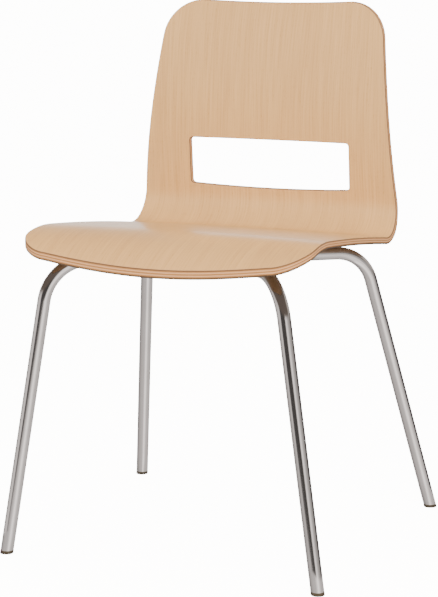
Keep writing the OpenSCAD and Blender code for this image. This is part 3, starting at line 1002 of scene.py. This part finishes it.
# %% [markdown]
# ## The room
# Polished tube has little colour of its own: it shows what stands around it. Big bright
# panels could make its streaks, but they would light the wood as well. So the world is
# painted by compass angle and height for reflections only, with bright walls and a dark
# gap in front. Soft light gets an even, warm room over a darker floor.

# %% World
# where the room is bright or dark at eye level: compass angle from the front, brightness
ROOM = [(-180, 0.12), (-158, 0.28), (-122, 0.42), (-92, 0.50), (-70, 0.80), (-44, 0.95),
        (-26, 0.07), (30, 0.07), (42, 0.95), (50, 1.45), (68, 0.85), (88, 0.48), (106, 0.42),
        (120, 0.10), (180, 0.12)]
# lower down, where the dark gap in front ends on pale floor
ROOM_LOW = [(-180, 0.40), (-150, 0.46), (-120, 0.40), (-92, 0.34), (-62, 0.56), (-34, 0.66),
            (0, 0.70), (20, 0.95), (34, 1.35), (50, 1.75), (70, 1.20), (95, 0.75), (120, 0.68),
            (160, 0.60), (180, 0.42)]
CEILING = (0.13, 0.112, 0.098)
BEHIND = (0.58, 0.56, 0.53)
BACKDROP = (1.9, 1.9, 1.9)
BACKDROP_WAY = (-0.396, 0.918)
WARM = (1.0, 0.81, 0.53)
ROOM_FILL = 1.25
SOFT_FLOOR = (0.11, 0.10, 0.088)
WHITE_GLOW = 14.0


def room_ramp(tree, share, spots):
    ramp = tree.nodes.new("ShaderNodeValToRGB")
    ramp.color_ramp.interpolation = "EASE"
    stops = ramp.color_ramp.elements
    while len(stops) < len(spots):
        stops.new(0.5)
    for stop, (angle, light) in zip(stops, spots):
        stop.position = (angle + 180) / 360
        stop.color = (light, light, light, 1)
    join(tree, share, ramp.inputs[0])
    return ramp.outputs[0]


def build_world():
    world = bpy.data.worlds.new("studio")
    bpy.context.scene.world = world
    world.use_nodes = True
    tree = world.node_tree
    tree.nodes.clear()
    rays = put(tree, "ShaderNodeLightPath").outputs
    soft = rays["Is Diffuse Ray"]
    way = put(tree, "ShaderNodeTexCoord").outputs["Generated"]
    parts = put(tree, "ShaderNodeSeparateXYZ", {0: way}).outputs
    turned = maths(tree, "ARCTAN2", parts[0], maths(tree, "MULTIPLY", parts[1], -1.0))
    share = spread(tree, turned, -math.pi, math.pi)
    height = parts[2]
    room = mixed(tree, room_ramp(tree, share, ROOM_LOW), room_ramp(tree, share, ROOM),
                 spread(tree, height, -0.25, -0.19))
    room = mixed(tree, room, (*CEILING, 1), spread(tree, height, 0.10, 0.24))
    # a lighter wall behind the chair
    wall = maths(tree, "MULTIPLY", spread(tree, parts[1], 0.2, 0.6), spread(tree, height, 0.0, 0.12))
    wall = maths(tree, "MULTIPLY", wall, spread(tree, height, 0.45, 0.60, 1.0, 0.0))
    room = mixed(tree, room, (*BEHIND, 1), wall)
    # a pale backdrop behind the chair, seen only near eye level
    behind = maths(tree, "ADD", maths(tree, "MULTIPLY", parts[0], BACKDROP_WAY[0]),
                   maths(tree, "MULTIPLY", parts[1], BACKDROP_WAY[1]))
    behind = spread(tree, behind, 0.86, 0.94)
    behind = maths(tree, "MULTIPLY", behind, spread(tree, height, -0.16, -0.13))
    behind = maths(tree, "MULTIPLY", behind, spread(tree, height, 0.16, 0.34, 1.0, 0.0))
    room = mixed(tree, room, (*BACKDROP, 1), behind)
    # soft light: an even, warm room over a darker floor
    above = spread(tree, height, -0.30, 0.02)
    even = mixed(tree, (*SOFT_FLOOR, 1), (*WARM, 1), above)
    room = mixed(tree, room, even, soft)
    strength = maths(tree, "ADD", 1.0, maths(tree, "MULTIPLY", soft, ROOM_FILL - 1.0))
    inner = put(tree, "ShaderNodeBackground", {"Color": room, "Strength": strength})
    white = {"Color": (1.0, 1.0, 1.0, 1), "Strength": WHITE_GLOW}
    outer = put(tree, "ShaderNodeBackground", white)
    seen = {0: rays["Is Camera Ray"], 1: inner.outputs[0], 2: outer.outputs[0]}
    both = put(tree, "ShaderNodeMixShader", seen)
    out = tree.nodes.new("ShaderNodeOutputWorld")
    join(tree, both.outputs[0], out.inputs["Surface"])


build_world()
print("room with", len(ROOM), "stops")

# %% [markdown]
# ## The lamps
# Three broad, warm lamps shape the chair: the key lights the back and the seat, the
# fill softens the other side, and the top one lifts the seat. A sun or point lamps
# would cast hard shadows. Reflections skip the lamps, because the room already says
# what the tubes show.

# %% Lights
LAMP_AIM = Vector((0, 0, 0.5))


def area_light(name, place, width, power):
    data = bpy.data.lights.new(name, "AREA")
    data.shape = "RECTANGLE"
    data.size = width
    data.size_y = width
    data.energy = power
    data.color = WARM
    lamp = bpy.data.objects.new(name, data)
    lamp.location = place
    lamp.rotation_euler = (LAMP_AIM - Vector(place)).to_track_quat("-Z", "Y").to_euler()
    lamp.visible_glossy = False
    bpy.context.scene.collection.objects.link(lamp)
    return lamp


key = area_light("key", (2.5, -2.3, 1.7), 1.4, 130.0)
fill = area_light("fill", (-1.5, -2.8, 1.8), 1.8, 62.0)
top = area_light("top", (0.0, -0.7, 3.0), 2.0, 14.0)
print("lights", [lamp.name for lamp in (key, fill, top)])

# %% [markdown]
# ## The camera
# A long lens from about three metres shows the front and one side without stretching
# the legs. The camera could be placed by hand, but by angle and distance round an aim
# point, each can be changed alone.

# %% Camera
CAMERA_AZIMUTH = math.radians(23.34)
CAMERA_ELEVATION = math.radians(10.30)
CAMERA_DISTANCE = 3.0268
CAMERA_AIM = Vector((-0.0068, 0.0006, 0.3514))
CAMERA_LENS = 123.87
back = Vector((
    math.sin(CAMERA_AZIMUTH) * math.cos(CAMERA_ELEVATION),
    -math.cos(CAMERA_AZIMUTH) * math.cos(CAMERA_ELEVATION),
    math.sin(CAMERA_ELEVATION),
))
camera = bpy.data.objects.new("camera", bpy.data.cameras.new("camera"))
camera.data.lens = CAMERA_LENS
camera.data.sensor_width = 36.0
camera.location = CAMERA_AIM + back * CAMERA_DISTANCE
camera.rotation_euler = (-back).to_track_quat("-Z", "Y").to_euler()
bpy.context.scene.collection.objects.link(camera)
bpy.context.scene.camera = camera
print("camera at", [round(v, 3) for v in camera.location])
